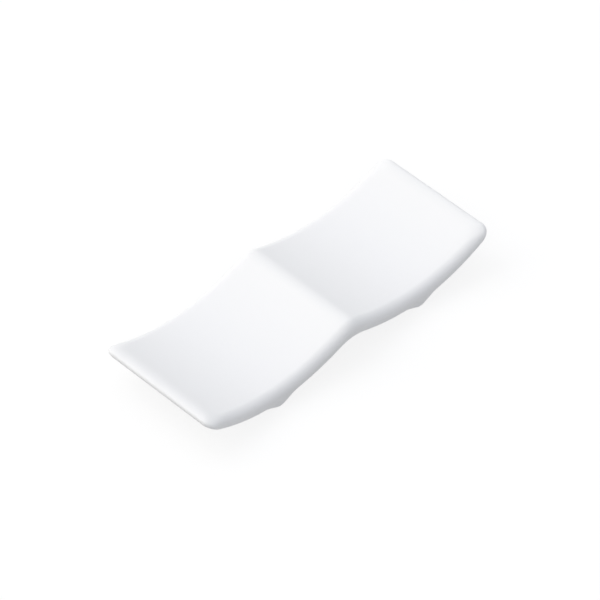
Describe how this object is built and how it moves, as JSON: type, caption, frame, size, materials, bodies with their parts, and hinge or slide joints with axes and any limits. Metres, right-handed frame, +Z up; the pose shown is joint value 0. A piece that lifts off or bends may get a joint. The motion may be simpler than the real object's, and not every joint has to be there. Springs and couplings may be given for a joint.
{
  "type": "chopstick rest",
  "caption": "Wavy porcelain table rest: a rounded crest parts shallow scoops that hold chopsticks or a spoon off the table, on low foot bars, under a white gloss glaze.",
  "frame": {"origin": "on the table under the middle of the crest, midway between the feet", "axes": "+X along the rest from the left scoop to the right one, +Y across it to the rear, +Z up"},
  "size_m": [0.094, 0.0364, 0.0109],
  "materials": {
    "porcelain": "fired white porcelain, unglazed, matt",
    "glaze": "clear white glaze, fired to a soft gloss"
  },
  "bodies": {
    "root": {"porcelain_body": "porcelain", "left_foot": "porcelain", "right_foot": "porcelain", "glaze_coat": "glaze"}
  },
  "joints": []
}
